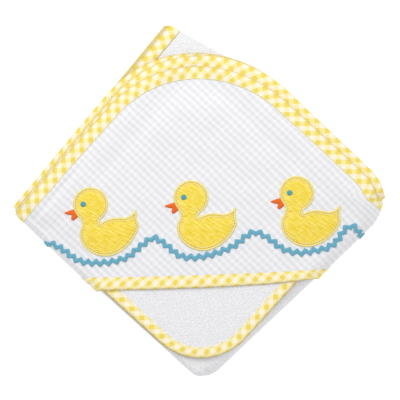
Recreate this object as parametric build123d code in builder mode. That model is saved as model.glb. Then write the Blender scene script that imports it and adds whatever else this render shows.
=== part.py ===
from build123d import *
import os

# A hooded baby towel, folded into quarters twice so that its hood lies on top, with a washcloth
# tucked under the hood. +Z is up, +Y runs from the bottom corner of the package to the hood's tip,
# and the origin is on the ground at the middle of the package. Sizes are in millimetres.

# cloth
layer_pitch = 1.4           # one pressed layer of terry
layers = 16                 # a quarter fold of a quarter fold
stack_top = layers * layer_pitch
binding_width = 9.5         # bias binding, a 3/8 in finish
towel_corner_radius = 92.0
edge_round = 4.0            # how far a folded edge rounds over

# the package seen from above: where its four edges would meet, and how each corner rounds
hood_tip = Vector(0, 142)
left_corner = Vector(-139.3, -4.7)
bottom_corner = Vector(-2.4, -136.3)
right_corner = Vector(146.5, -10.5)
left_radius = 5.0
right_radius = 27.0
bottom_radius = 13.0

# the folded corner that shows behind the hood, and its fold down to the right side
back_tip = Vector(-20.5, 130.6)
back_tip_end = Vector(-13.0, 128.6)
back_fold_end = Vector(60.0, 86.0)
back_fold_radius = 20.0
tip_radius = 1.0
inner_fold_step = Vector(5.0, -12.0)   # the folds behind it stop short
inner_fold_radius = 4.0

# how far each bound corner stands out past the hood's own corner, on the left and right sides
corner_steps = [(0.0, 0.0), (1.9, 4.2), (4.4, 4.8), (4.9, 5.2)]
hood_run_bottom = 21.5
run_thickness = 2.4

# hood
pocket_gap = 0.3
washcloth_thickness = 2.8
hood_thickness = 0.9
mouth_height = -60.3        # the middle of the mouth binding
mouth_binding_thickness = 1.6
mouth_binding_round = 0.5
hood_run_top = 27.5

# washcloth, folded into quarters
washcloth_side = 203.0
washcloth_radius = 39.5
washcloth_corner = Vector(-2.3, -134.2)
washcloth_fold_radius = 6.0

# rickrack, a zigzag along three waves, one under each duck
wave_points = [
    (-124.0, -23.0), (-105.0, -34.7), (-92.0, -41.4),
    (-79.0, -43.6), (-66.0, -43.0), (-55.0, -39.8), (-44.5, -32.0),    # under the left duck
    (-36.0, -27.2), (-27.0, -32.5), (-18.0, -40.5),
    (-7.0, -43.0), (5.0, -41.8), (22.0, -36.5),                        # under the middle duck
    (41.0, -26.6), (50.0, -31.6), (59.0, -39.0),
    (70.0, -42.9), (84.0, -41.9), (96.0, -38.6), (104.0, -32.4),       # under the right duck
    (112.0, -26.8), (122.0, -36.0),
]
rickrack_pitch = 6.3
rickrack_swing = 1.1
rickrack_width = 3.1
rickrack_thickness = 1.0

# ducks, measured from the middle of the head
duck_places = {"left": (-81.5, 0.0, -2.7), "middle": (-6.6, 1.6, -8.5), "right": (72.3, 1.2, -12.0)}
head_radius = 12.9
applique_thickness = 0.8
stitch_width = 1.2
stitch_thickness = 1.3
chin = (-8.2, -10.0)
nape = (7.4, -10.8)
nape_side = (6.9, -12.4)
nape_fold = (6.8, -14.2)
back_rise = (10.3, -12.2)
back_start = (14.5, -10.4)
back_middle = (20.5, -9.6)
back_end = (27.0, -10.0)
tail_rise = (30.6, -8.4)
tail_tip = (33.4, -5.2)
tail_bend = (33.9, -10.2)
tail_end = (36.0, -15.3)
belly = [
    (30.9, -27.2), (20.8, -36.0),      # rump
    (10.5, -38.6), (-0.8, -34.8),      # keel
    (-7.0, -27.4), (-7.6, -19.0),      # breast
    (-6.5, -14.2),                     # throat
]
beak_points = [
    (-11.8, -4.0), (-14.2, -4.1), (-19.5, -6.5), (-16.9, -8.1), (-14.8, -8.9), (-14.6, -10.9),
    (-12.8, -11.9), (-10.8, -10.6), (-9.0, -8.0)
]
eye_place = (-5.3, 0.2)
face_tilt = -2.7            # each beak and eye is level, however its duck tilts
eye_radius = 2.1
eye_thickness = 0.6
beak_thickness = 1.1

far = 400.0                 # longer than the package either way
washcloth_bottom = stack_top + pocket_gap
hood_bottom = washcloth_bottom + washcloth_thickness + 2 * pocket_gap
hood_top = hood_bottom + hood_thickness
right_way = (right_corner - hood_tip).normalized()
left_way = (left_corner - hood_tip).normalized()


def outline(points, radii):
    """A closed outline with its corners rounded."""
    with BuildSketch() as shape:
        with BuildLine():
            Polyline(*points, close=True)
        make_face()
        for point, radius in zip(points, radii):
            fillet(shape.vertices().sort_by_distance(point)[0], radius)
    return shape.sketch


def front(step_left=0.0, step_right=0.0):
    """The front of the package, with its left and right bound edges moved out by the steps."""
    points = [
        hood_tip - right_way * step_left - left_way * step_right,
        left_corner - right_way * step_left,
        bottom_corner,
        right_corner - left_way * step_right,
    ]
    radii = [towel_corner_radius + step_left, left_radius, bottom_radius, right_radius]
    return outline(points, radii)


def folded_corner(inset):
    """The towel's folded corner behind the hood: bound on its left side, folded on its right."""
    points = [
        left_corner + right_way * inset,
        bottom_corner,
        right_corner,
        back_fold_end,
        back_tip_end,
        back_tip + right_way * inset,
    ]
    radii = [left_radius, bottom_radius, right_radius, back_fold_radius, tip_radius, tip_radius]
    return outline(points, radii)


def washcloth_outline(inset):
    """The washcloth's folded square, whose two bound sides are moved in by the inset."""
    side = washcloth_side / 2
    with BuildSketch() as square:
        Rectangle(side, side, align=(Align.MIN, Align.MIN))
        fillet(square.vertices().sort_by_distance(Vector(0, 0))[0], washcloth_radius)
        fillet(square.vertices().sort_by_distance(Vector(side, side))[0], washcloth_fold_radius)
        if inset:
            trimmed = Location((inset, inset)) * square.sketch
            add(trimmed, mode=Mode.INTERSECT)
    return Location((washcloth_corner.X, washcloth_corner.Y, 0), (0, 0, 45)) * square.sketch


def duck_outline(grow):
    """A duck facing left, seen from above, with its edge moved out by grow."""
    with BuildSketch() as duck:
        with BuildLine():
            ThreePointArc(chin, (0, head_radius), nape)
            ThreePointArc(nape, nape_side, nape_fold)
            ThreePointArc(nape_fold, back_rise, back_start)
            ThreePointArc(back_start, back_middle, back_end)
            ThreePointArc(back_end, tail_rise, tail_tip)
            ThreePointArc(tail_tip, tail_bend, tail_end)
            for start, middle, end in zip([tail_end, *belly[1::2]], belly[::2], [*belly[1::2], chin]):
                ThreePointArc(start, middle, end)
        make_face()
        if grow:
            offset(duck.face(), amount=grow, mode=Mode.REPLACE)
    return duck.sketch


# towel: the layers behind, the layers of the folded corner, and the four bound corners in front
half_stack = layers / 2 * layer_pitch
corner_layers_bottom = hood_run_bottom - run_thickness * (len(corner_steps) - 1)
with BuildPart() as towel_body:
    with BuildSketch():
        add(outline(
            [
                left_corner + right_way * binding_width,
                bottom_corner,
                right_corner,
                back_fold_end,
                back_tip_end + inner_fold_step,
                back_tip + inner_fold_step,
            ],
            [
                left_radius, bottom_radius, right_radius,
                back_fold_radius, inner_fold_radius, inner_fold_radius,
            ],
        ))
    extrude(amount=half_stack)
    fillet(towel_body.faces().sort_by(Axis.Z)[0].edges(), edge_round)
    with BuildSketch(Plane.XY.offset(half_stack)):
        add(folded_corner(binding_width))
    extrude(amount=corner_layers_bottom - half_stack)
    for number, (step_left, step_right) in enumerate(corner_steps):
        low = hood_run_bottom - run_thickness * number
        high = stack_top if number == 0 else low + run_thickness
        with BuildSketch(Plane.XY.offset(low)):
            add(front(step_left - binding_width, step_right - binding_width))
        extrude(amount=high - low)

# the towel's binding: one run over each bound corner in front, and one along the folded corner
with BuildPart() as towel_binding:
    for number, (step_left, step_right) in enumerate(corner_steps):
        low = hood_run_bottom - run_thickness * number
        high = hood_run_top if number == 0 else low + run_thickness
        with BuildSketch(Plane.XY.offset(low)):
            add(front(step_left, step_right))
            add(front(step_left - binding_width, step_right - binding_width), mode=Mode.SUBTRACT)
        extrude(amount=high - low)
    with BuildSketch(Plane.XY.offset(half_stack)):
        add(folded_corner(0))
        add(folded_corner(binding_width), mode=Mode.SUBTRACT)
    extrude(amount=corner_layers_bottom - half_stack)

# hood: a corner of pique whose mouth runs straight across the package, bound like the towel
with BuildPart() as hood_panel:
    with BuildSketch(Plane.XY.offset(hood_bottom)):
        add(front(-binding_width, -binding_width))
        with Locations((0, mouth_height + binding_width / 2)):
            Rectangle(far, far, align=(Align.CENTER, Align.MAX), mode=Mode.SUBTRACT)
    extrude(amount=hood_thickness)

with BuildPart() as hood_mouth_binding:
    with BuildSketch(Plane.XY.offset(hood_bottom - pocket_gap)):
        add(front())
        with Locations((0, mouth_height)):
            Rectangle(far, binding_width, mode=Mode.INTERSECT)
    extrude(amount=mouth_binding_thickness)
    fillet(hood_mouth_binding.edges().filter_by(Axis.X), mouth_binding_round)

# rickrack: a braid that zigzags along a wave, sewn across the hood below the ducks
wave = Edge.make_spline([Vector(*point) for point in wave_points])
zigzags = round(wave.length / (rickrack_pitch / 2))
turns = []
for number in range(zigzags + 1):
    along = wave.tangent_at(number / zigzags)
    across = Vector(-along.Y, along.X) * rickrack_swing * (-1) ** number
    turns.append(wave.position_at(number / zigzags) + across)
with BuildPart() as rickrack_trim:
    with BuildSketch(Plane.XY.offset(hood_top)):
        with BuildLine():
            Polyline(*turns)
        trace(line_width=rickrack_width)
        add(front(-1, -1), mode=Mode.INTERSECT)
    extrude(amount=rickrack_thickness)

# washcloth: a terry square with rounded corners, its four corners stacked at the bottom
with BuildPart() as washcloth_body:
    with BuildSketch(Plane.XY.offset(washcloth_bottom)):
        add(washcloth_outline(binding_width))
    extrude(amount=washcloth_thickness)

with BuildPart() as washcloth_binding:
    with BuildSketch(Plane.XY.offset(washcloth_bottom)):
        add(washcloth_outline(0))
        add(washcloth_outline(binding_width), mode=Mode.SUBTRACT)
    extrude(amount=washcloth_thickness)

pieces = {
    "towel_body": towel_body,
    "towel_binding": towel_binding,
    "hood_panel": hood_panel,
    "hood_mouth_binding": hood_mouth_binding,
    "rickrack_trim": rickrack_trim,
    "washcloth_body": washcloth_body,
    "washcloth_binding": washcloth_binding,
}

# ducks: each is a cut-out with a satin-stitched edge, and an embroidered beak and eye
for side, (x, y, tilt) in duck_places.items():
    on_hood = Plane((x, y, hood_top), x_dir=(1, 0, 0), z_dir=(0, 0, 1)).rotated((0, 0, tilt))
    with BuildPart() as duck_applique:
        with BuildSketch(on_hood):
            add(duck_outline(-stitch_width))
        extrude(amount=applique_thickness)
    with BuildPart() as duck_edge_stitching:
        with BuildSketch(on_hood):
            add(duck_outline(0))
            add(duck_outline(-stitch_width), mode=Mode.SUBTRACT)
        extrude(amount=stitch_thickness)
    face = on_hood.rotated((0, 0, face_tilt - tilt))
    with BuildPart() as duck_beak:
        with BuildSketch(face):
            with BuildLine():
                Spline(*beak_points, periodic=True)
            make_face()
            add(duck_outline(0).rotate(Axis.Z, tilt - face_tilt), mode=Mode.SUBTRACT)
        extrude(amount=beak_thickness)
    with BuildPart() as duck_eye:
        with BuildSketch(face.offset(applique_thickness)):
            with Locations(eye_place):
                Circle(eye_radius)
        extrude(amount=eye_thickness)
    pieces["duck_applique_" + side] = duck_applique
    pieces["duck_edge_stitching_" + side] = duck_edge_stitching
    pieces["duck_beak_" + side] = duck_beak
    pieces["duck_eye_" + side] = duck_eye

os.makedirs("parts", exist_ok=True)
for name, piece in pieces.items():
    piece.part.label = name
    export_step(piece.part, f"parts/{name}.step")
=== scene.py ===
import math

import bpy
import numpy as np
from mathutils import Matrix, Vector, geometry


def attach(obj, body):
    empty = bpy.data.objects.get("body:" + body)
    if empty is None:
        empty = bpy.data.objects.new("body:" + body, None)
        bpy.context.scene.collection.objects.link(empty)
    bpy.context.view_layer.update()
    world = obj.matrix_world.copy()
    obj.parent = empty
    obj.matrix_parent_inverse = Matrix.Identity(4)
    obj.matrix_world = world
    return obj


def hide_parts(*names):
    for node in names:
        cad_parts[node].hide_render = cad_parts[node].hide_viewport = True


# The looks of the hooded baby towel. Every cloth is a flat sheet of its real size that the same
# folding turns into the package. Sizes are in millimetres until an object is made, in metres.

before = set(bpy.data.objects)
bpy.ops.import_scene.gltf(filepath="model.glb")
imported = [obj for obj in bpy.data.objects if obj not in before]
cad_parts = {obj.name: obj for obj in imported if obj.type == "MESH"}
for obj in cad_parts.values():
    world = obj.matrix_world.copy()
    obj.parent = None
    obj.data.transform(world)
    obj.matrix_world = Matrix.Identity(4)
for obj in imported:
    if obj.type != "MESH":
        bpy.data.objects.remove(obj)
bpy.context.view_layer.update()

MM = 0.001

# towel, flat
SIDE = 762.0
CORNER = 92.0
PITCH = 1.28                # one pressed layer in the stack
TERRY_HALF = 0.52           # half the thickness of the terry
BOUND_HALF = 0.34           # and of the terry under its binding
TERRY_INSET = 0.7           # how far the terry ends inside its binding
BINDING = 9.5
GINGHAM = 7.1               # one repeat of the checks, square to their rows
TOP_LAYER = 22.6            # height of the middle of the top layer

# folding: in half twice, then behind on two sides
SPAN = 200.0                # a side of the folded package before it is fitted to its corners
HALF_V = 377.5              # where each half fold lies, a little short so that its corners show
HALF_U = 376.25
BEHIND_V = 195.0
BEHIND_U = 189.0
HOOD_ROOM = 0.9             # room for the hood where it is folded in behind
TIP = np.array([0.0, 142.0])
LEFT = np.array([-139.3, -4.7])
BOTTOM = np.array([-3.0, -138.8])
RIGHT = np.array([146.5, -10.5])

# heights that the folds turn round, from the middle of the top layer
HALF_V_FLOOR = -PITCH / 2
HALF_U_FLOOR = -1.5 * PITCH
BEHIND_V_FLOOR = -3.5 * PITCH
BEHIND_U_FLOOR = -7.5 * PITCH - HOOD_ROOM

# where the layers lie apart from a plain fold
SECOND_SHIFT = 1.9          # the second corner slips out on the left
LEFT_DRAW = 1.4             # the back layers are drawn in near the left corner
HOOD_DRAW = 1.6             # the hood's own corner is drawn in
BACK_SLIP = 3.6             # the upper layer behind shows past the upper left edge
BOUND_PUFF = 0.6            # how much thicker the front layers lie along their bindings
# the skew of the layers behind, over v and over u: (at the corner, less per mm, least, most)
SKEW_V = (5.9, 0.29, -17, 9)
SKEW_U = (33, 0.33, 0, 34)
# round corners of the package: (u, v, which way is out in u and in v, radius)
ROUND_CORNERS = [(SPAN, -5.2, 1, -1, 30), (-5.6, SPAN, -1, 1, 5), (SPAN, SPAN, 1, 1, 14)]

# hood
HOOD_EDGE = 0.8             # how far it ends inside the towel's edge
HOOD_HALF = 0.35            # half its thickness
HOOD_BOUND_HALF = 0.24      # and under the bindings
HOOD_LOW = 0.66             # height over the middle of the top layer, where it is bound
HOOD_HIGH = 4.45            # and over the washcloth
CREASE_AT, CREASE_DEPTH = 14.5, 0.9
ROLL_V = 3.5 * PITCH + HOOD_LOW     # radii that it rolls over the folds behind with
ROLL_U = 7.5 * PITCH + HOOD_ROOM + HOOD_LOW

# washcloth, flat
CLOTH_SIDE = 203.0
CLOTH_CORNER = 45.0
CLOTH_PITCH = 0.7
CLOTH_HALF, CLOTH_BOUND_HALF = 0.3, 0.15
CLOTH_INSET = 0.5
CLOTH_BINDING = 8.2
CLOTH_TOP = 25.95           # height of the middle of its top layer
CLOTH_PLACE = (-2.6, -136.9)
CLOTH_SHORT = (0.7, 0.5)    # how far short of the middle its folds lie


def smooth(x):
    """A soft step from 0 to 1."""
    x = np.clip(x, 0, 1)
    return x * x * (3 - 2 * x)


def bend(flat, axis, line, floor):
    """Turns what lies beyond a line down and back under the rest, round an axis at height floor."""
    out = flat.copy()
    s = flat[:, axis] - line
    radius = np.maximum(flat[:, 2] - floor, 0.01)
    turn = np.clip(s / radius, 0, math.pi)
    back = np.maximum(s - math.pi * radius, 0)
    out[:, axis] = line + np.where(s < 0, s, radius * np.sin(turn) - back)
    out[:, 2] = floor + radius * np.cos(turn)
    return out, turn / math.pi


def round_corner(flat, corner_u, corner_v, sign_u, sign_v, radius):
    """Pulls the package's square corner in to a round one."""
    x = np.maximum(radius - sign_u * (corner_u - flat[:, 0]), 0)
    y = np.maximum(radius - sign_v * (corner_v - flat[:, 1]), 0)
    far = np.hypot(x, y) + 1e-9
    scale = (x ** 8 + y ** 8) ** 0.125 / far
    both = (x > 0) & (y > 0)
    flat[:, 0] -= np.where(both, sign_u * x * (1 - scale), 0)
    flat[:, 1] -= np.where(both, sign_v * y * (1 - scale), 0)


def skew(along, start, slope, least, most):
    return np.clip(start - slope * along, least, most)


def fit(u, v):
    """The place on the table of a point of the folded square."""
    a, b = (u / SPAN)[:, None], (v / SPAN)[:, None]
    return TIP * (1 - a) * (1 - b) + RIGHT * a * (1 - b) + LEFT * (1 - a) * b + BOTTOM * a * b


def unfit(x, y):
    """The point of the folded square, and so of the flat hood, at a place on the table."""
    target = np.stack([x, y], 1)
    u, v = np.full(len(x), SPAN / 2), np.full(len(x), SPAN / 2)
    for _ in range(12):
        here = fit(u, v)
        du, dv = fit(u + 1, v) - here, fit(u, v + 1) - here
        miss = target - here
        det = du[:, 0] * dv[:, 1] - du[:, 1] * dv[:, 0]
        u = u + (miss[:, 0] * dv[:, 1] - miss[:, 1] * dv[:, 0]) / det
        v = v + (du[:, 0] * miss[:, 1] - du[:, 1] * miss[:, 0]) / det
    return u, v


def fold_towel(p, q, z):
    """The place of a point of the flat towel, z above its cloth's middle, once it is folded."""
    flat = np.stack([p, q, z], 1).astype(float)
    top = z > HALF_V_FLOOR
    drawn_in = np.where(top, HOOD_DRAW * np.exp(-((p + q - 54) / 60) ** 2), 0)
    flat[:, 0] += drawn_in
    flat[:, 1] += drawn_in
    flat, over = bend(flat, 1, HALF_V, HALF_V_FLOOR)
    flat[:, 0] -= SECOND_SHIFT * over
    flat, across_turn = bend(flat, 0, HALF_U, HALF_U_FLOOR)
    near_left = smooth((flat[:, 1] - 90) / 100) * (1 - smooth((flat[:, 1] - 205) / 60))
    flat[:, 0] += LEFT_DRAW * across_turn * near_left
    flat, behind = bend(flat, 1, BEHIND_V, BEHIND_V_FLOOR)
    u, v = flat[:, 0].copy(), flat[:, 1].copy()
    back = behind * (1 - v / BEHIND_V)
    flat[:, 1] += back * skew(u, *SKEW_V)
    upper = smooth((flat[:, 2] + 4.6 * PITCH) / 0.25)
    flat[:, 0] -= back * BACK_SLIP * (1 - smooth(u / 120)) * upper
    flat, beneath = bend(flat, 0, BEHIND_U, BEHIND_U_FLOOR)
    flat[:, 1] += beneath * skew(flat[:, 0], *SKEW_U) * (1 - flat[:, 1] / SPAN)
    edge = np.minimum(flat[:, 0], flat[:, 1])
    far_side = smooth((np.abs(flat[:, :2]).max(1) - 184) / 12)
    raised = BOUND_PUFF * (1 - smooth((edge - 13) / 20)) * (1 - far_side)
    flat[:, 2] += raised * np.maximum(flat[:, 2] - BEHIND_V_FLOOR, 0)
    for corner in ROUND_CORNERS:
        round_corner(flat, *corner)
    place = fit(flat[:, 0], flat[:, 1])
    return np.column_stack([place, flat[:, 2] + TOP_LAYER])


def hood_height(p, q):
    """How high the middle of the hood lies over the middle of the towel's top layer."""
    edge = edge_distance(p, q, SIDE, CORNER)
    inside = smooth((edge - 9) / 30)
    # it sinks to the towel near the two folds behind, and past them
    low_left = smooth((q - BEHIND_V + 24) / 24) * (1 - np.exp(-((p - 90) / 30) ** 2))
    low_right = smooth((p - BEHIND_U + 34) / 34) * (1 - np.exp(-((q - 98) / 30) ** 2))
    inside = inside * (1 - 0.75 * low_left) * (1 - 0.75 * low_right)
    past_left, past_right = smooth((q - BEHIND_V - 3) / 12), smooth((p - BEHIND_U - 8) / 18)
    inside = inside * (1 - past_left) * (1 - past_right)
    waves = 0.22 * np.sin(p / 17 + 0.6 * np.sin(q / 29)) + 0.18 * np.sin(q / 23 - p / 41 + 1.3)
    crease = np.exp(-((p - CREASE_AT) / 1.6) ** 2) * smooth((q - 135) / 20)
    crease = crease * (1 - smooth((q - 190) / 8))
    return (HOOD_LOW + (HOOD_HIGH - HOOD_LOW) * inside + waves * smooth((edge - 12) / 20) * inside
            - CREASE_DEPTH * crease)


def unroll(seen, line, radius):
    """The flat place of a point seen from above on a cloth that rolls over beyond a line."""
    share = (seen - line) / radius
    steep = np.maximum(share - 0.8, 0) / 0.6
    rolled_over = radius * (np.arcsin(np.clip(share, 0, 0.8)) + steep)
    return line + np.where(share < 0, seen - line, rolled_over)


def flat_place(x, y):
    """The flat place of a point of the hood that shows at x, y from above."""
    u, v = unfit(x, y)
    return unroll(u, BEHIND_U, ROLL_U), unroll(v, BEHIND_V, ROLL_V)


def on_hood_flat(p, q, z):
    """The place of something sewn on the hood, z above its middle, given its flat place."""
    return fold_towel(p, q, hood_height(p, q) + z)


def on_hood(x, y, z):
    """The same, given where it shows from above."""
    return on_hood_flat(*flat_place(x, y), z)


def fold_washcloth(p, q, z):
    """The place of a point of the flat washcloth once it is folded in four."""
    flat = np.stack([p, q, z], 1).astype(float)
    flat, _ = bend(flat, 1, CLOTH_SIDE / 2 - CLOTH_SHORT[1], -CLOTH_PITCH / 2)
    flat, _ = bend(flat, 0, CLOTH_SIDE / 2 - CLOTH_SHORT[0], -1.5 * CLOTH_PITCH)
    half = math.sqrt(0.5)
    x = CLOTH_PLACE[0] + (flat[:, 0] - flat[:, 1]) * half
    y = CLOTH_PLACE[1] + (flat[:, 0] + flat[:, 1]) * half
    return np.column_stack([x, y, flat[:, 2] + CLOTH_TOP])


def make_piece(name, points, faces, uv, material, body, *nodes, **attributes):
    """A closed mesh whose faces look outwards, riding on its body in place of its CAD nodes."""
    points, faces = np.asarray(points, float), [list(f) for f in faces]
    around = np.array([[*f, f[-1]][:4] for f in faces if len(f) <= 4])
    a, b, c, d = (points[around[:, i]] for i in range(4))
    volume = (a * np.cross(b, c)).sum() + (a * np.cross(c, d)).sum()
    if volume < 0:
        faces = [f[::-1] for f in faces]
    mesh = bpy.data.meshes.new(name)
    mesh.from_pydata((points * MM).tolist(), [], faces)
    mesh.polygons.foreach_set("use_smooth", [True] * len(mesh.polygons))
    layer = mesh.uv_layers.new(name="flat")
    corners = np.zeros(len(mesh.loops), int)
    mesh.loops.foreach_get("vertex_index", corners)
    layer.data.foreach_set("uv", (np.asarray(uv)[corners] * MM).astype(np.float32).ravel())
    for key, values in attributes.items():
        made = mesh.attributes.new(key, "FLOAT", "POINT")
        made.data.foreach_set("value", np.asarray(values, np.float32))
    mesh.materials.append(material)
    piece = bpy.data.objects.new(name, mesh)
    bpy.context.scene.collection.objects.link(piece)
    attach(piece, body)
    if nodes:
        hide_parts(*nodes)
    return piece


def grid_faces(rows, columns, first=0, wrap_rows=False, wrap_columns=False):
    """Faces of a grid of points, which can be closed into a tube or a ring."""
    index = first + np.arange(rows * columns).reshape(rows, columns)
    if wrap_rows:
        index = np.vstack([index, index[:1]])
    if wrap_columns:
        index = np.hstack([index, index[:, :1]])
    corners = [index[:-1, :-1], index[1:, :-1], index[1:, 1:], index[:-1, 1:]]
    return np.stack(corners, -1).reshape(-1, 4)


def end_faces(rows, columns, first=0):
    """The faces that close the two ends of an open tube."""
    last = first + (rows - 1) * columns
    return [list(range(first, first + columns))[::-1], list(range(last, last + columns))]


def run_along(line):
    """How far along a line each of its points lies."""
    return np.concatenate([[0], np.cumsum(np.linalg.norm(np.diff(line, axis=0), axis=1))])


def slab(rows, columns, p, q, half, middle, place):
    """Points, faces and flat places of a cloth grid with a thickness, closed round its edge."""
    top, low = place(p, q, middle + half), place(p, q, middle - half)
    index = np.arange(rows * columns).reshape(rows, columns)
    painted_rim_shade = np.concatenate([index[0, :-1], index[:-1, -1], index[-1, :0:-1], index[:0:-1, 0]])
    after, count = np.roll(painted_rim_shade, -1), rows * columns
    faces = np.vstack([
        grid_faces(rows, columns),
        grid_faces(rows, columns, count)[:, ::-1],
        np.stack([after, painted_rim_shade, painted_rim_shade + count, after + count], -1)[:, ::-1],
    ])
    flat = np.stack([p, q], 1)
    return np.vstack([top, low]), faces, np.vstack([flat, flat])


def stations(length, coarse, bends):
    """Places along a side, close together where it bends: bends are (start, end, step)."""
    places = [np.arange(0, length + coarse / 2, coarse)]
    for start, end, step in bends:
        places = [a[(a < start) | (a > end)] for a in places]
        places.append(np.arange(start, end + step / 2, step))
    places = np.unique(np.concatenate([*places, [0, length]]).round(4))
    return places[(places >= 0) & (places <= length)]


def round_square(p, q, side, radius, inset):
    """Fits a square grid to a square with round corners, moved in by inset."""
    p, q = p * (side - 2 * inset) / side + inset, q * (side - 2 * inset) / side + inset
    r, a, b = radius - inset, np.zeros_like(p), np.zeros_like(q)
    for value, out in ((p, a), (q, b)):
        out[:] = np.maximum(value - side + radius, 0) - np.maximum(radius - value, 0)
    a1 = a * np.sqrt(np.maximum(1 - b * b / (2 * r * r), 0))
    b1 = b * np.sqrt(np.maximum(1 - a * a / (2 * r * r), 0))
    return p - a + a1, q - b + b1


def edge_distance(p, q, side, radius):
    """How far a flat point lies inside the edge of the square with round corners."""
    a = np.abs(p - side / 2) - side / 2 + radius
    b = np.abs(q - side / 2) - side / 2 + radius
    return radius - np.hypot(np.maximum(a, 0), np.maximum(b, 0)) - np.minimum(np.maximum(a, b), 0)


def perimeter(side, radius, lines, corner_step):
    """Points round the edge of the square with round corners, their inward ways and run lengths."""
    straight = lines[(lines > radius + 0.1) & (lines < side - radius - 0.1)]
    turns = np.arange(0, 1, corner_step / (radius * math.pi / 2)) * math.pi / 2
    points, inward = [], []
    for n in range(4):
        turn = np.array([[math.cos(n * math.pi / 2), -math.sin(n * math.pi / 2)],
                         [math.sin(n * math.pi / 2), math.cos(n * math.pi / 2)]])
        run = straight if n in (0, 1) else side - straight[::-1]
        run = np.concatenate([[radius], run])
        side_points = np.stack([run, np.zeros_like(run)], 1)
        side_in = np.tile([0.0, 1.0], (len(run), 1))
        arc = np.stack([side - radius + radius * np.sin(turns), radius - radius * np.cos(turns)], 1)
        arc_in = np.stack([-np.sin(turns), np.cos(turns)], 1)
        here = np.vstack([side_points, arc]) - side / 2
        points.append(here @ turn.T + side / 2)
        inward.append(np.vstack([side_in, arc_in]) @ turn.T)
    points, inward = np.vstack(points), np.vstack(inward)
    steps = np.linalg.norm(np.roll(points, -1, 0) - points, axis=1)
    return points, inward, np.concatenate([[0], np.cumsum(steps)[:-1]]), steps.sum()


def binding_profile(width, high, low, cloth):
    """The section of a binding folded over an edge, from its inner top edge round to that edge
    again: (distance in from the edge, height). high and low are its outer heights, cloth its
    thickness. The dip near the inner edge is its line of stitching."""
    top = [(width, high - 0.2), (width - 0.35, high - 0.04), (width - 1.1, high - 0.16),
           (width - 2.0, high), (width * 0.5, high + 0.05), (2.0, high), (0.8, high - 0.1),
           (0.2, high * 0.6)]
    under = [(d, -low / high * z) for d, z in reversed(top)]
    inner = [(width - 0.3, -low + cloth + 0.05), (1.3, -low + cloth), (0.55, 0.0),
             (1.3, high - cloth), (width - 0.3, high - cloth - 0.05)]
    return np.array([*top, (0.0, 0.0), *under, *inner])


def close_pattern(piece, count, length):
    """Carries the pattern on over the last row of faces, where a closed strip meets its start."""
    layer = piece.data.uv_layers["flat"]
    corners = np.zeros(len(piece.data.loops), int)
    piece.data.loops.foreach_get("vertex_index", corners)
    places = np.zeros(2 * len(corners), np.float32)
    layer.data.foreach_get("uv", places)
    last = np.arange(len(corners)) >= len(corners) - 4 * count
    places[::2][last & (corners < count)] += length * MM
    layer.data.foreach_set("uv", places)


def bind(name, path, inward, run, total, profiles, place, body, node,
         closed=True, shift=0.0, side=1):
    """A gingham strip swept round an edge. profiles holds one section for each station, shift
    moves its checks across it. side is -1 where its run turns the other way, so that the checks
    lean the same way on every strip."""
    count = profiles.shape[1]
    d, z = profiles[..., 0], profiles[..., 1]
    p = path[:, None, 0] + inward[:, None, 0] * d
    q = path[:, None, 1] + inward[:, None, 1] * d
    points = place(p.ravel(), q.ravel(), z.ravel())
    section = profiles[len(profiles) // 2]
    check = math.sqrt(2) * GINGHAM      # the checks lie at 45 degrees to the strip
    stretch = total / round(total / check) / check if closed else 1
    across = side * run_along(section) + shift
    uv = np.stack([np.repeat(run / stretch, count), np.tile(across, len(path))], 1)
    faces = grid_faces(len(path), count, wrap_rows=closed, wrap_columns=True).tolist()
    if not closed:
        faces += end_faces(len(path), count)
    # painted shade: the outer fold of each binding is darkened, where shade falls in the gap
    # between the stacked layers
    fold = np.tile(1 - smooth((section[:, 0] - 0.4) / 0.9), len(path))
    piece = make_piece(name, points, faces, uv, gingham, body, node, fold=fold)
    if closed:
        close_pattern(piece, count, total / stretch)
    return piece


# ---------------------------------------------------------------- materials


def colour(red, green, blue):
    """A colour given as 0-255 on screen, for a shader."""
    shares = [((c / 255 + 0.055) / 1.055) ** 2.4 for c in (red, green, blue)]
    return (*shares, 1.0)


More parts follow.
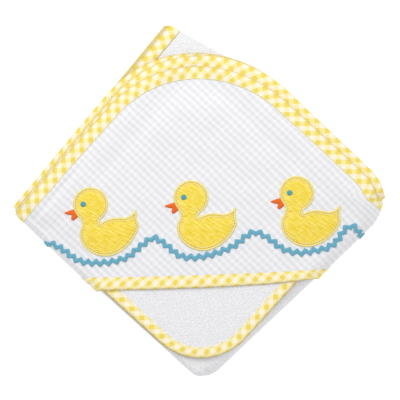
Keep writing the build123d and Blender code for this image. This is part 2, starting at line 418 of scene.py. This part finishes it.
class Shader:
    """A cloth material whose nodes read the flat cloth's own places, in millimetres."""

    def __init__(self, name, slot, roughness=0.9, sheen=0.1):
        self.material = bpy.data.materials.new(name)
        self.material.use_nodes = True
        self.material["slot"] = slot
        self.tree = self.material.node_tree
        self.surface = self.tree.nodes["Principled BSDF"]
        self.surface.inputs["Roughness"].default_value = roughness
        self.surface.inputs["Sheen Weight"].default_value = sheen
        self.surface.inputs["Sheen Roughness"].default_value = 0.5
        self.surface.inputs["Specular IOR Level"].default_value = 0.2
        self.flat = self.node("ShaderNodeUVMap", uv_map="flat").outputs[0]
        self.place = self.math3("MULTIPLY", self.flat, (1000, 1000, 1000))

    def node(self, kind, inputs=(), **settings):
        made = self.tree.nodes.new(kind)
        for key, value in settings.items():
            setattr(made, key, value)
        for key, value in dict(inputs).items():
            if isinstance(value, bpy.types.NodeSocket):
                self.tree.links.new(value, made.inputs[key])
            else:
                made.inputs[key].default_value = value
        return made

    def math(self, operation, a, b=0.0):
        return self.node("ShaderNodeMath", {0: a, 1: b}, operation=operation).outputs[0]

    def math3(self, operation, a, b):
        return self.node("ShaderNodeVectorMath", {0: a, 1: b}, operation=operation).outputs[0]

    def along(self, x, y):
        """Distance along a direction of the flat cloth."""
        return self.node("ShaderNodeVectorMath", {0: self.place, 1: (x, y, 0.0)},
                         operation="DOT_PRODUCT").outputs["Value"]

    def wave(self, value, repeat):
        """A wave from 0 to 1 along a value in millimetres."""
        turn = self.math("MULTIPLY", value, 2 * math.pi / repeat)
        return self.math("ADD", self.math("MULTIPLY", self.math("SINE", turn), 0.5), 0.5)

    def noise(self, size, detail):
        """Noise with lumps of a size in millimetres."""
        return self.node("ShaderNodeTexNoise", {
            "Vector": self.place, "Scale": 1 / size, "Detail": detail}).outputs["Fac"]

    def streaks(self, angle, across):
        """Noise drawn out into long streaks at an angle."""
        turned = self.node("ShaderNodeVectorRotate", {"Vector": self.place, "Angle": angle},
                           rotation_type="Z_AXIS").outputs[0]
        drawn = self.math3("MULTIPLY", turned, (0.12, across, 1.0))
        return self.node("ShaderNodeTexNoise", {
            "Vector": drawn, "Scale": 1.0, "Detail": 2.0}).outputs["Fac"]

    def range(self, value, low, high, to_low=0.0, to_high=1.0):
        """A soft step of a value between two bounds."""
        return self.node("ShaderNodeMapRange", {
            "Value": value, "From Min": low, "From Max": high, "To Min": to_low, "To Max": to_high,
        }, interpolation_type="SMOOTHSTEP").outputs[0]

    def attribute(self, name):
        return self.node("ShaderNodeAttribute", attribute_name=name).outputs["Fac"]

    def mix(self, share, a, b):
        """A colour between a and b."""
        made = self.node("ShaderNodeMix", data_type="RGBA")
        for socket, value in ((made.inputs[0], share), (made.inputs[6], a), (made.inputs[7], b)):
            if isinstance(value, bpy.types.NodeSocket):
                self.tree.links.new(value, socket)
            else:
                socket.default_value = value
        return made.outputs[2]

    def finish(self, base, *heights):
        """Sets the colour, and bumps given as (height, depth in millimetres)."""
        self.tree.links.new(base, self.surface.inputs["Base Color"])
        normal = None
        for height, depth in heights:
            made = self.node("ShaderNodeBump", {
                "Height": height, "Distance": depth * MM, "Strength": 1.0})
            if normal is not None:
                self.tree.links.new(normal, made.inputs["Normal"])
            normal = made.outputs[0]
        self.tree.links.new(normal, self.surface.inputs["Normal"])
        return self.material


def terry_material():
    s = Shader("terry_white", "terry_white", 0.95, 0.15)
    astray = s.node("ShaderNodeTexNoise", {"Vector": s.place, "Scale": 0.45, "Detail": 1.0})
    astray = s.node("ShaderNodeVectorMath", {0: astray.outputs["Color"], 3: 2.0},
                    operation="SCALE")
    warped = s.math3("ADD", s.place, astray.outputs[0])
    loops = s.node("ShaderNodeTexVoronoi", {"Vector": warped, "Scale": 1 / 1.25},
                   feature="F1", voronoi_dimensions="2D").outputs["Distance"]
    patches = s.noise(7.0, 2.0)
    height = s.range(loops, 0.0, 0.75, 1.0, 0.0)
    # painted shade: darker in the crevices between the loops, mixed with random patches of tone
    painted_loop_shade_and_tone = s.math("ADD", s.math("MULTIPLY", height, 0.75), s.math("MULTIPLY", patches, 0.25))
    base = s.mix(s.range(painted_loop_shade_and_tone, 0.15, 0.85), colour(228, 228, 231), colour(243, 243, 245))
    return s.finish(base, (height, 0.17), (s.noise(0.5, 3.0), 0.07), (patches, 0.4))


def pique_material():
    s = Shader("pique_white", "pique_white", 0.85, 0.08)
    wobble = s.math("MULTIPLY", s.math("SUBTRACT", s.noise(12.0, 1.0), 0.5), 1.6)
    rib = s.wave(s.math("ADD", s.along(-0.03, 1), wobble), 4.6)
    bead = s.wave(s.math("ADD", s.along(1, 0.05), wobble), 4.2)
    share = s.range(s.noise(16.0, 1.0), 0.35, 0.65, 0.2, 0.42)
    height = s.math("ADD", s.math("MULTIPLY", rib, 0.65), s.math("MULTIPLY", bead, share))
    yarn = 0.42
    weave = s.math("MULTIPLY", s.wave(s.along(1, 0), yarn), s.wave(s.along(0, 1), yarn))
    # painted shade: the grooves between the ribs are darker than the rib tops
    base = s.mix(s.range(height, 0.1, 0.9), colour(226, 226, 229), colour(240, 240, 243))
    return s.finish(base, (height, 0.14), (weave, 0.04), (s.noise(26.0, 1.0), 1.0))


def gingham_material():
    s = Shader("gingham_yellow", "gingham_yellow", 0.85, 0.06)
    half = math.sqrt(0.5)
    checks = []
    for way, share in (((half, half), 0.37), ((half, -half), 0.63)):
        rows = s.range(s.wave(s.along(*way), GINGHAM), 0.25, 0.75)
        checks.append(s.math("MULTIPLY", rows, share))
    both = s.math("ADD", *checks)
    pale = s.mix(s.range(both, 0.0, 0.5), colour(254, 245, 232), colour(250, 238, 170))
    base = s.mix(s.range(both, 0.5, 1.0), pale, colour(242, 218, 96))
    yarn = 0.5
    yarns = s.math("MULTIPLY", s.wave(s.along(half, half), yarn),
                   s.wave(s.along(half, -half), yarn))
    base = s.mix(s.math("MULTIPLY", s.noise(0.6, 2.0), 0.12), base, colour(225, 205, 140))
    # painted shade: darker olive along the binding's outer fold, standing in for the shadow between
    # layers
    base = s.mix(s.math("MULTIPLY", s.attribute("fold"), 0.6), base, colour(186, 160, 86))
    return s.finish(base, (yarns, 0.06), (s.noise(5.0, 2.0), 0.35))


def rickrack_material():
    s = Shader("rickrack_blue", "rickrack_blue", 0.7, 0.1)
    strands = s.wave(s.along(1, 1.2), 0.8)
    cross = s.wave(s.along(1, -1.2), 0.8)
    height = s.math("MAXIMUM", strands, cross)
    # painted shade: darker between the raised strands, lighter on their tops
    base = s.mix(s.range(height, 0.4, 1.0), colour(84, 166, 196), colour(122, 194, 218))
    base = s.mix(s.math("MULTIPLY", s.noise(3.0, 2.0), 0.25), base, colour(136, 192, 216))
    return s.finish(base, (height, 0.2))


def duck_material():
    s = Shader("duck_yellow", "duck_yellow", 0.85, 0.06)
    streaks_a = s.streaks(0.42, 0.85)
    streaks_b = s.streaks(-0.7, 0.8)
    cloth = s.mix(s.range(streaks_a, 0.32, 0.7), colour(232, 200, 36), colour(248, 228, 112))
    for height, share, tint in ((streaks_b, 0.4, (252, 238, 150)),
                                (s.noise(5.0, 2.0), 0.45, (240, 212, 40))):
        share = s.math("MULTIPLY", s.range(height, 0.45, 0.7), share)
        cloth = s.mix(share, cloth, colour(*tint))
    # painted shade: the duck's cloth darkens along its outline, in the groove beside the raised
    # satin edge
    base = s.mix(s.math("MULTIPLY", s.attribute("painted_rim_shade"), 0.7), cloth, colour(214, 188, 76))
    return s.finish(base, (streaks_a, 0.12), (streaks_b, 0.1))


def thread_material(name, slot, light, dark, repeat=0.45, depth=0.12):
    """Embroidery thread lying across the piece, side by side."""
    s = Shader(name, slot, 0.55, 0.05)
    strand = s.wave(s.along(1, 0), repeat)
    # painted shade: darker between the strands, lighter on their tops; the noise below is random
    # tone
    base = s.mix(s.range(strand, 0.0, 0.8), colour(*dark), colour(*light))
    base = s.mix(s.math("MULTIPLY", s.noise(1.5, 2.0), 0.2), base, colour(*dark))
    return s.finish(base, (strand, depth))


terry = terry_material()
pique = pique_material()
gingham = gingham_material()
rickrack = rickrack_material()
duck_cloth = duck_material()
edge_thread = thread_material("satin_edge_yellow", "duck_yellow",
                              (255, 244, 166), (248, 230, 126))
cream_thread = thread_material("thread_cream", "thread_cream",
                               (255, 240, 196), (252, 228, 168), 0.3, 0.05)
beak_thread = thread_material("beak_orange", "beak_orange",
                              (255, 124, 42), (236, 98, 26), 0.5, 0.15)
eye_thread = thread_material("eye_blue", "eye_blue", (100, 178, 196), (70, 150, 172))

# ---------------------------------------------------------------- floor

FLOOR = 3.0                 # metres from its middle to each side
floor_mesh = bpy.data.meshes.new("floor")
floor_mesh.from_pydata([(-FLOOR, -FLOOR, 0), (FLOOR, -FLOOR, 0), (FLOOR, FLOOR, 0),
                        (-FLOOR, FLOOR, 0)], [], [(0, 1, 2, 3)])
floor = bpy.data.objects.new("floor", floor_mesh)
bpy.context.scene.collection.objects.link(floor)
paper = bpy.data.materials.new("floor_paper")
paper.use_nodes = True
for key, value in {"Base Color": (0.98, 0.98, 0.98, 1), "Roughness": 0.9,
                   "Specular IOR Level": 0.0, "Emission Color": (1, 1, 1, 1),
                   "Emission Strength": 0.38}.items():
    paper.node_tree.nodes["Principled BSDF"].inputs[key].default_value = value
floor_mesh.materials.append(paper)

# ---------------------------------------------------------------- towel

lines_q = stations(SIDE, 6.0, [(376.5, 386.5, 0.5), (193, 214, 0.9), (543, 566, 0.9)])
lines_p = stations(SIDE, 6.0, [(376, 388, 0.5), (187, 226, 1.2), (533, 571, 1.2)])
grid_p, grid_q = (a.ravel() for a in np.meshgrid(lines_p, lines_q, indexing="ij"))
grid_p, grid_q = round_square(grid_p, grid_q, SIDE, CORNER, TERRY_INSET)
inside = edge_distance(grid_p, grid_q, SIDE, CORNER)
half = BOUND_HALF + (TERRY_HALF - BOUND_HALF) * smooth((inside - BINDING) / 5)
points, faces, flat = slab(len(lines_p), len(lines_q), grid_p, grid_q, half, 0.0, fold_towel)
towel = make_piece("towel_terry", points, faces, flat, terry, "towel", "towel_body")

edge_lines = np.unique(np.concatenate([lines_p, lines_q]))
path, inward, run, total = perimeter(SIDE, CORNER, edge_lines, 3.0)
HOOD_END = 292.0            # p + q up to where the towel's binding also holds the hood
near_hood = np.where((path[:, 0] < CORNER) | (path[:, 1] < CORNER), path.sum(1), 1e9)
over_hood = 1 - smooth((near_hood - HOOD_END + 2) / 8)
profiles = np.stack([binding_profile(BINDING, 0.56 + 0.62 * share, 0.56, 0.2)
                     for share in over_hood])
towel_binding = bind("towel_gingham_binding", path, inward, run, total, profiles, fold_towel,
                     "towel", "towel_binding", shift=2.5)

# ---------------------------------------------------------------- hood

# the two edges of the mouth binding as they show from above
MOUTH_X = [-200, -90, -45, 0, 45, 95, 200]
MOUTH_TOP = [-53.5, -54.4, -55.6, -56.4, -56.8, -56.4, -55]
MOUTH_LOW = [-63.4, -64.0, -65.4, -66.0, -65.8, -62.6, -61]
MOUTH_SUM = 285.0           # p + q at the hood's mouth, about
FALL = 0.72                 # how far down the table one more millimetre of p + q lies


def rolled(flat, line, radius):
    """Where a flat place is seen from above on a cloth that rolls over beyond a line."""
    turn = np.clip((flat - line) / radius, 0, math.pi / 2)
    past = np.maximum(flat - line - radius * math.pi / 2, 0)
    return np.where(flat < line, flat, line + radius * np.sin(turn) + past)


def across_hood(total, across):
    """Flat points whose p + q is total, for shares -1 to 1 across the hood."""
    difference = (total - 2 * HOOD_EDGE) * across
    return (total + difference) / 2, (total - difference) / 2


def mouth_line(heights, across):
    """The sums p + q and the flat points of a line over the hood that shows at the heights."""
    total = np.full(len(across), MOUTH_SUM)
    for _ in range(15):
        p, q = across_hood(total, across)
        here = fit(rolled(p, BEHIND_U, ROLL_U), rolled(q, BEHIND_V, ROLL_V))
        total = total + (here[:, 1] - np.interp(here[:, 0], MOUTH_X, heights)) / FALL
    return total, np.stack(across_hood(total, across), 1)


across = np.linspace(-1, 1, 221)
hood_end, _ = mouth_line([0.15 * t + 0.85 * b for t, b in zip(MOUTH_TOP, MOUTH_LOW)], across)
arc_radius = CORNER - HOOD_EDGE
first_sum = 2 * CORNER - math.sqrt(2) * arc_radius
tangent_sum = CORNER + HOOD_EDGE
corner_rows = first_sum + (tangent_sum - first_sum) * np.linspace(0, 1, 24)[:-1] ** 2
rows = np.concatenate([corner_rows, np.linspace(tangent_sum, MOUTH_SUM, 84)])
hood_p, hood_q = [], []
for row in rows:
    if row < tangent_sum:
        reach = math.sqrt(max(2 * arc_radius ** 2 - (row - 2 * CORNER) ** 2, 0)) * across
        p, q = (row + reach) / 2, (row - reach) / 2
    else:
        share = smooth((row - tangent_sum) / (MOUTH_SUM - tangent_sum))
        p, q = across_hood(row + (hood_end - MOUTH_SUM) * share, across)
    hood_p.append(p)
    hood_q.append(q)
hood_p, hood_q = np.concatenate(hood_p), np.concatenate(hood_q)
middle = hood_height(hood_p, hood_q)
inside = edge_distance(hood_p, hood_q, SIDE, CORNER)
half = HOOD_BOUND_HALF + (HOOD_HALF - HOOD_BOUND_HALF) * smooth((inside - BINDING) / 5)
points, faces, flat = slab(len(rows), len(across), hood_p, hood_q, half, middle, fold_towel)
hood = make_piece("hood_pique", points, faces, flat, pique, "towel", "hood_panel")

across = np.linspace(-1, 1, 301)
_, low_line = mouth_line(MOUTH_LOW, across)
_, top_line = mouth_line(MOUTH_TOP, across)
ways = (top_line - low_line) / BINDING
run = run_along(low_line)
thin = smooth((np.minimum(low_line.min(1), top_line.min(1)) - 9) / 6)
profiles = np.stack([binding_profile(BINDING, 0.5 + 0.35 * t, 0.45 + 0.3 * t, 0.28) for t in thin])
mouth_binding = bind("hood_mouth_gingham_binding", low_line, ways, run, run[-1], profiles,
                     on_hood_flat, "towel", "hood_mouth_binding", closed=False, side=-1)

# ---------------------------------------------------------------- washcloth

lines = stations(CLOTH_SIDE, 3.5, [(99, 106, 0.35)])
grid_p, grid_q = (a.ravel() for a in np.meshgrid(lines, lines, indexing="ij"))
grid_p, grid_q = round_square(grid_p, grid_q, CLOTH_SIDE, CLOTH_CORNER, CLOTH_INSET)
inside = edge_distance(grid_p, grid_q, CLOTH_SIDE, CLOTH_CORNER)
half = CLOTH_BOUND_HALF + (CLOTH_HALF - CLOTH_BOUND_HALF) * smooth((inside - CLOTH_BINDING) / 4)
points, faces, flat = slab(len(lines), len(lines), grid_p, grid_q, half, 0.0, fold_washcloth)
washcloth = make_piece("washcloth_terry", points, faces, flat, terry, "washcloth", "washcloth_body")

path, inward, run, total = perimeter(CLOTH_SIDE, CLOTH_CORNER, lines, 1.6)
profiles = np.stack([binding_profile(CLOTH_BINDING, 0.29, 0.29, 0.12)] * len(path))
washcloth_binding = bind("washcloth_gingham_binding", path, inward, run, total, profiles,
                         fold_washcloth, "washcloth", "washcloth_binding", shift=-0.9, side=-1)

# ---------------------------------------------------------------- rickrack

# knots of the wave that the braid follows, as it shows from above
WAVE = np.array([
    (-156, -50), (-134, -40), (-122, -32), (-114.5, -27.6), (-107.5, -30.4), (-92, -41.4),
    (-79, -43.6), (-66, -43), (-55, -39.8), (-44.5, -32), (-36, -27.2), (-27, -32.5),
    (-18, -40.5), (-7, -43), (5, -41.8), (22, -36.5), (41, -26.6), (50, -31.6), (59, -39),
    (70, -42.9), (84, -42.2), (94, -40.2), (101, -35.6), (106.5, -28.4), (113, -25.6),
    (120.5, -33.4), (134, -42.5), (158, -42),
])
BRAID_STEP = 0.3
ZIG, ZIG_REACH = 6.2, 1.2   # one repeat of the zigzag, and how far it swings to each side
ZIG_SHARP = 0.8             # near 0 a round wave, at 1 a sharp zigzag
xs = np.arange(-150, 152, BRAID_STEP)
knot_x, knot_y = WAVE.T
knot_slope = np.gradient(knot_y, knot_x)
knot = np.clip(np.searchsorted(knot_x, xs) - 1, 0, len(WAVE) - 2)
gap = knot_x[knot + 1] - knot_x[knot]
t = (xs - knot_x[knot]) / gap
ys = (knot_y[knot] * (1 + 2 * t) * (1 - t) ** 2 + knot_slope[knot] * gap * t * (1 - t) ** 2
      + knot_y[knot + 1] * t * t * (3 - 2 * t) - knot_slope[knot + 1] * gap * t * t * (1 - t))
braid = np.stack(flat_place(xs, ys), 1)
run = run_along(braid)
even = np.arange(0, run[-1], BRAID_STEP)
braid = np.stack([np.interp(even, run, braid[:, i]) for i in (0, 1)], 1)
way = np.gradient(braid, axis=0)
normal = np.stack([way[:, 1], -way[:, 0]], 1) / np.linalg.norm(way, axis=1)[:, None]
zig = np.arcsin(ZIG_SHARP * np.sin(2 * math.pi * even / ZIG)) / math.asin(ZIG_SHARP) * ZIG_REACH
widths = np.array([-2.0, -1.85, -1.2, 0, 1.2, 1.85, 2.0, 1.4, -1.4])
heights = np.array([0.5, 0.95, 1.2, 1.25, 1.2, 0.95, 0.5, 0.4, 0.4])
side = zig[:, None] + widths[None, :]
sewn = braid[:, None] + normal[:, None] * side[..., None]
pressed = 1 - 0.6 * smooth((braid[:, :1] - SPAN) / 15)      # thinner where it lies beneath
raised = heights[-1] + (heights[None, :] - heights[-1]) * pressed
points = on_hood_flat(sewn[..., 0].ravel(), sewn[..., 1].ravel(), raised.ravel())
faces = grid_faces(len(braid), len(widths), wrap_columns=True).tolist()
faces += end_faces(len(braid), len(widths))
uv = np.stack([np.repeat(even, len(widths)), np.tile(widths, len(braid))], 1)
rickrack_piece = make_piece("rickrack_braid", points, faces, uv, rickrack,
                            "towel", "rickrack_trim")

# ---------------------------------------------------------------- ducks

# x, y and tilt in degrees
DUCK_PLACES = {"left": (-81.5, 0.0, -2.7), "middle": (-6.6, 1.6, -8.5),
               "right": (72.3, 1.2, -12.0)}
# the outline as arcs, each through three points
DUCK_ARCS = [
    [(-8.2, -10), (0, 12.9), (7.4, -10.8)],
    [(7.4, -10.8), (6.9, -12.4), (6.8, -14.2)],
    [(6.8, -14.2), (10.3, -12.2), (14.5, -10.4)],
    [(14.5, -10.4), (19.6, -9.7), (25, -9.9)],
    [(25, -9.9), (29.6, -8.1), (33, -4.7)],
    [(33, -4.7), (33.9, -4.3), (34.5, -5.1)],
    [(34.5, -5.1), (34.5, -10.2), (36.2, -15.3)],
    [(36.2, -15.3), (30.9, -27.2), (20.8, -36)],
    [(20.8, -36), (10.5, -38.6), (-0.8, -34.8)],
    [(-0.8, -34.8), (-7, -27.4), (-7.6, -19)],
    [(-7.6, -19), (-6.5, -14.2), (-8.2, -10)],
]
BEAK = [(-11.8, -4.2), (-14.4, -4.2), (-19.5, -6.3), (-16.6, -7.6), (-14, -8.1),
        (-14.5, -10.4), (-13.2, -11.9), (-11, -10.8), (-9, -8)]
EYE, EYE_RADIUS = (-5.3, 0.2), 2.1
FACE_TILT = -2.7            # of beak and eye, the same on every duck


def arc_points(start, middle, end, step):
    """Points along the arc through three points, without its end."""
    (ax, ay), (bx, by), (cx, cy) = start, middle, end
    d = 2 * (ax * (by - cy) + bx * (cy - ay) + cx * (ay - by))
    aa, bb, cc = ax * ax + ay * ay, bx * bx + by * by, cx * cx + cy * cy
    ux = (aa * (by - cy) + bb * (cy - ay) + cc * (ay - by)) / d
    uy = (aa * (cx - bx) + bb * (ax - cx) + cc * (bx - ax)) / d
    r = math.hypot(ax - ux, ay - uy)
    angles = [math.atan2(y - uy, x - ux) for x, y in (start, middle, end)]
    full = 2 * math.pi
    sweep = (angles[2] - angles[0]) % full
    if (angles[1] - angles[0]) % full > sweep:
        sweep -= full
    count = max(2, int(abs(sweep) * r / step))
    turns = angles[0] + sweep * np.arange(count) / count
    return np.stack([ux + r * np.cos(turns), uy + r * np.sin(turns)], 1)


def closed_spline(points, count):
    """A smooth closed line through points."""
    points = np.array(points, float)
    n, out = len(points), []
    for i in range(n):
        a, b, c, d = (points[(i + k) % n] for k in (-1, 0, 1, 2))
        t = (np.arange(count) / count)[:, None]
        out.append(0.5 * (2 * b + (c - a) * t + (2 * a - 5 * b + 4 * c - d) * t ** 2
                          + (3 * b - a - 3 * c + d) * t ** 3))
    return np.vstack(out)


def resample(line, step):
    """A closed line with even spacing, and its length."""
    closed = np.vstack([line, line[:1]])
    run = run_along(closed)
    places = np.linspace(0, run[-1], max(8, int(run[-1] / step)) + 1)[:-1]
    return np.stack([np.interp(places, run, closed[:, i]) for i in (0, 1)], 1), run[-1]


def area_of(line):
    """Twice the area of a closed line, negative if it runs clockwise."""
    x, y = line.T
    return (x * np.roll(y, -1) - y * np.roll(x, -1)).sum()


def inward_of(line):
    """Inward ways of a closed line, whichever way it runs."""
    way = np.roll(line, -1, 0) - np.roll(line, 1, 0)
    way /= np.linalg.norm(way, axis=1)[:, None] + 1e-9
    return np.stack([-way[:, 1], way[:, 0]], 1) * (1 if area_of(line) > 0 else -1)


def distance_to(line, points):
    """How far each point is from a closed line."""
    way = np.roll(line, -1, 0) - line
    squares = (way ** 2).sum(1) + 1e-12
    out = np.full(len(points), 1e9)
    for start, w, square in zip(line, way, squares):
        t = np.clip(((points - start) @ w) / square, 0, 1)
        out = np.minimum(out, np.linalg.norm(points - start - t[:, None] * w, axis=1))
    return out


def patch(line, spacing):
    """Triangles that fill a closed line, with points inside it: (points, faces)."""
    low, high = line.min(0), line.max(0)
    xs = np.arange(low[0], high[0], spacing)
    ys = np.arange(low[1], high[1], spacing * 0.87)
    grid = np.array([(x + (j % 2) * spacing / 2, y) for j, y in enumerate(ys) for x in xs])
    grid = grid[distance_to(line, grid) > spacing * 0.6]
    a, b = line, np.roll(line, -1, 0)
    (ax, ay), (bx, by), (gx, gy) = a.T[:, None], b.T[:, None], grid.T[:, :, None]
    crossings = ((ay > gy) != (by > gy)) & (
        gx < (bx - ax) * (gy - ay) / (by - ay + 1e-12) + ax)
    grid = grid[crossings.sum(1) % 2 == 1]
    places = [Vector(p) for p in np.vstack([line, grid]).tolist()]
    made = geometry.delaunay_2d_cdt(places, [], [list(range(len(line)))], 1, 1e-6)
    return np.array([tuple(v) for v in made[0]]), [list(f) for f in made[2]]


def patch_piece(name, line, spacing, height, base, place, material, node, painted_rim_shade=None):
    """A filled outline with a flat underside, whose top's height is given by how far in it is."""
    points, faces = patch(line, spacing)
    near = distance_to(line, points)
    n, count = len(points), len(line)
    top, low = place(points, height(near)), place(points, np.full(n, base))
    ring = np.arange(count)
    after = np.roll(ring, -1)
    sides = np.stack([ring, after, after + n, ring + n], 1)
    a, b, c = (points[i] for i in faces[0][:3])
    if (area_of(line) > 0) == (np.cross(b - a, c - a) > 0):
        sides = sides[:, ::-1]
    faces = faces + [[i + n for i in reversed(f)] for f in faces] + sides.tolist()
    # the share of painted shade near the outline, by how far in
    extra = {"painted_rim_shade": np.tile(painted_rim_shade(near), 2)} if painted_rim_shade else {}
    return make_piece(name, np.vstack([top, low]), faces, np.vstack([points, points]), material,
                      "towel", node, **extra)


def bead_piece(name, line, widths, heights, place, material, node):
    """A raised thread edge swept round a closed line. widths are measured inwards from it."""
    ways = inward_of(line)
    points = (line[:, None] + ways[:, None] * np.array(widths)[None, :, None]).reshape(-1, 2)
    placed = place(points, np.tile(heights, len(line)))
    run = run_along(line)
    uv = np.stack([np.repeat(run, len(widths)), np.tile(widths, len(line))], 1)
    faces = grid_faces(len(line), len(widths), wrap_rows=True, wrap_columns=True)
    piece = make_piece(name, placed, faces, uv, material, "towel", node)
    close_pattern(piece, len(widths), run[-1] + np.linalg.norm(line[0] - line[-1]))
    return piece


def inset(line, depth):
    """A closed line moved inwards, without the loops where the shape is too narrow."""
    moved = line + inward_of(line) * depth
    return moved[distance_to(line, moved) > 0.95 * depth]


def running_stitch(name, line, stitch, gap, radius, height, place, material):
    """Short hand-like stitches that come up and go down along a closed line."""
    even, total = resample(line, 0.1)
    count = int(total / (stitch + gap))
    step = total / count
    run = np.arange(len(even)) * total / len(even)
    closed = np.vstack([even, even[:1]])
    closed_run = np.append(run, total)
    sections, ring = 7, 6
    turns = np.arange(ring) / ring * 2 * math.pi
    points, faces, uv = [], [], []
    for k in range(count):
        places = k * step + np.linspace(0, stitch * step / (stitch + gap), sections)
        centre = np.stack([np.interp(places % total, closed_run, closed[:, i]) for i in (0, 1)], 1)
        way = np.gradient(centre, axis=0)
        way /= np.linalg.norm(way, axis=1)[:, None] + 1e-9
        side = np.stack([-way[:, 1], way[:, 0]], 1)
        share = np.sqrt(np.sin(np.linspace(0.12, math.pi - 0.12, sections)))[:, None]
        size = radius * (0.35 + 0.65 * share)
        first = k * sections * ring
        flat = centre[:, None] + side[:, None] * (np.cos(turns) * size)[..., None]
        rise = height - radius * 1.2 + 1.2 * radius * share + np.sin(turns) * size
        points.append(place(flat.reshape(-1, 2), rise.ravel()))
        uv.append(np.stack([np.repeat(places, ring), np.tile(turns * radius, sections)], 1))
        faces += grid_faces(sections, ring, first, wrap_columns=True).tolist()
        faces += end_faces(sections, ring, first)
    return make_piece(name, np.vstack(points), faces, np.vstack(uv), material, "towel")


def cloth_height(near):
    """The duck's cloth is crowned, and its running stitch lies in a groove."""
    groove = 0.18 * np.exp(-((near - 1.4) / 0.5) ** 2)
    return 0.35 + 0.55 * smooth(near / 1.6) - groove + 0.35 * smooth((near - 2) / 6)


EDGE_WIDTHS = [0.0, 0.12, 0.45, 0.95, 1.35, 1.5, 1.0, 0.2]
EDGE_HEIGHTS = [0.1, 0.65, 1.0, 1.0, 0.75, 0.35, 0.2, 0.0]
STITCH, STITCH_GAP, STITCH_RADIUS = 1.5, 0.7, 0.42

hood_trims = [mouth_binding, rickrack_piece]
duck_line = np.vstack([arc_points(*arc, 0.5) for arc in DUCK_ARCS])
duck_line, _ = resample(duck_line, 0.5)
cloth_line, _ = resample(duck_line + inward_of(duck_line) * 0.7, 0.7)
stitch_line = inset(duck_line, 2.35)
beak_line, _ = resample(closed_spline(BEAK, 10), 0.45)
round_turns = np.arange(28) / 28 * 2 * math.pi
eye_line = np.stack([EYE[0] + EYE_RADIUS * np.cos(round_turns),
                     EYE[1] + EYE_RADIUS * np.sin(round_turns)], 1)
for side_name, (x0, y0, tilt) in DUCK_PLACES.items():
    cos, sin = math.cos(math.radians(tilt)), math.sin(math.radians(tilt))
    turn = math.radians(FACE_TILT - tilt)
    face_turn = np.array([[math.cos(turn), math.sin(turn)], [-math.sin(turn), math.cos(turn)]])

    def on_duck(points, z):
        x = x0 + points[:, 0] * cos - points[:, 1] * sin
        y = y0 + points[:, 0] * sin + points[:, 1] * cos
        return on_hood(x, y, HOOD_HALF + np.asarray(z))

    def on_face(points, z):
        return on_duck(points @ face_turn, z)

    name = "duck_" + side_name
    hood_trims += [
        # the duck's cloth carries painted shade along its rim, beside the satin edge
        patch_piece(name + "_cloth", cloth_line, 1.5, cloth_height, -0.1, on_duck, duck_cloth,
                    "duck_applique_" + side_name, painted_rim_shade=lambda near: 1 - smooth((near - 0.9) / 1.0)),
        bead_piece(name + "_satin_edge", duck_line, EDGE_WIDTHS, EDGE_HEIGHTS, on_duck,
                   edge_thread, "duck_edge_stitching_" + side_name),
        running_stitch(name + "_running_stitch", stitch_line, STITCH, STITCH_GAP,
                       STITCH_RADIUS, 0.95, on_duck, cream_thread),
        patch_piece(name + "_beak", beak_line, 0.8, lambda near: 0.35 + 0.85 * smooth(near / 1.3),
                    -0.1, on_face, beak_thread, "duck_beak_" + side_name),
        patch_piece(name + "_eye", eye_line, 0.6, lambda near: 1.25 + 0.55 * smooth(near / 1.0),
                    0.7, on_face, eye_thread, "duck_eye_" + side_name),
    ]

# ---------------------------------------------------------------- light and camera

world = bpy.data.worlds.new("studio")
bpy.context.scene.world = world
world.use_nodes = True
world.node_tree.nodes["Background"].inputs["Color"].default_value = (1, 1, 1, 1)
world.node_tree.nodes["Background"].inputs["Strength"].default_value = 0.66


def soft_light(name, place, size, power):
    light = bpy.data.lights.new(name, "AREA")
    light.shape, light.size, light.energy = "SQUARE", size, power
    lamp = bpy.data.objects.new(name, light)
    lamp.location = place
    lamp.rotation_mode = "QUATERNION"
    lamp.rotation_quaternion = (-Vector(place)).to_track_quat("-Z", "Y")
    bpy.context.scene.collection.objects.link(lamp)


soft_light("key", (-0.25, 0.8, 0.8), 0.7, 6)
soft_light("fill", (0.9, 0.3, 1.6), 1.4, 6)

SENSOR = 36                 # millimetres
VIEW_WIDTH, VIEW_DISTANCE = 0.298, 1.0
TOP = 0.027                 # the height that the view's width is measured at
camera_data = bpy.data.cameras.new("camera")
camera_data.sensor_width = SENSOR
camera_data.lens = SENSOR * VIEW_DISTANCE / VIEW_WIDTH
camera = bpy.data.objects.new("camera", camera_data)
camera.location = (0.0001, -0.0005, TOP + VIEW_DISTANCE)
camera.rotation_euler = (0, 0, math.radians(-2.7))
bpy.context.scene.collection.objects.link(camera)
bpy.context.scene.camera = camera
bpy.context.scene.view_settings.view_transform = "Standard"
